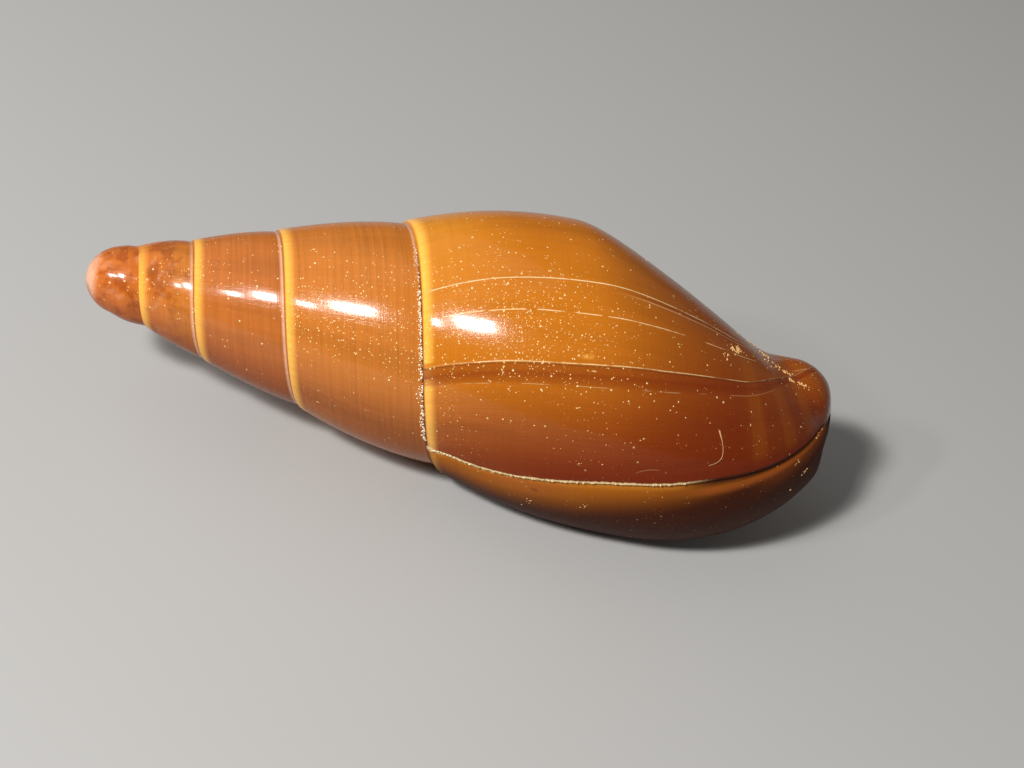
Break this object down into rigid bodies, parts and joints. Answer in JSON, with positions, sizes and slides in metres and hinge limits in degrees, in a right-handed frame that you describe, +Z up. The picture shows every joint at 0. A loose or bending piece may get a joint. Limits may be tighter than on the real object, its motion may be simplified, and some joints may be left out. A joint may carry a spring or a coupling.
{
  "type": "mitre snail shell",
  "caption": "Spindle-shaped orange-brown sea snail shell with a tall spire and a long narrow aperture, lying on its aperture side",
  "frame": {"origin": "middle of the outline seen from above, at the level the shell rests on", "axes": "+X along the coiling axis from the apex to the front end, +Y away from the viewer's side, +Z up"},
  "size_m": [0.0378, 0.0146, 0.0136],
  "materials": {
    "shell": "glossy"
  },
  "bodies": {
    "root": {"shell": "shell"}
  },
  "joints": []
}
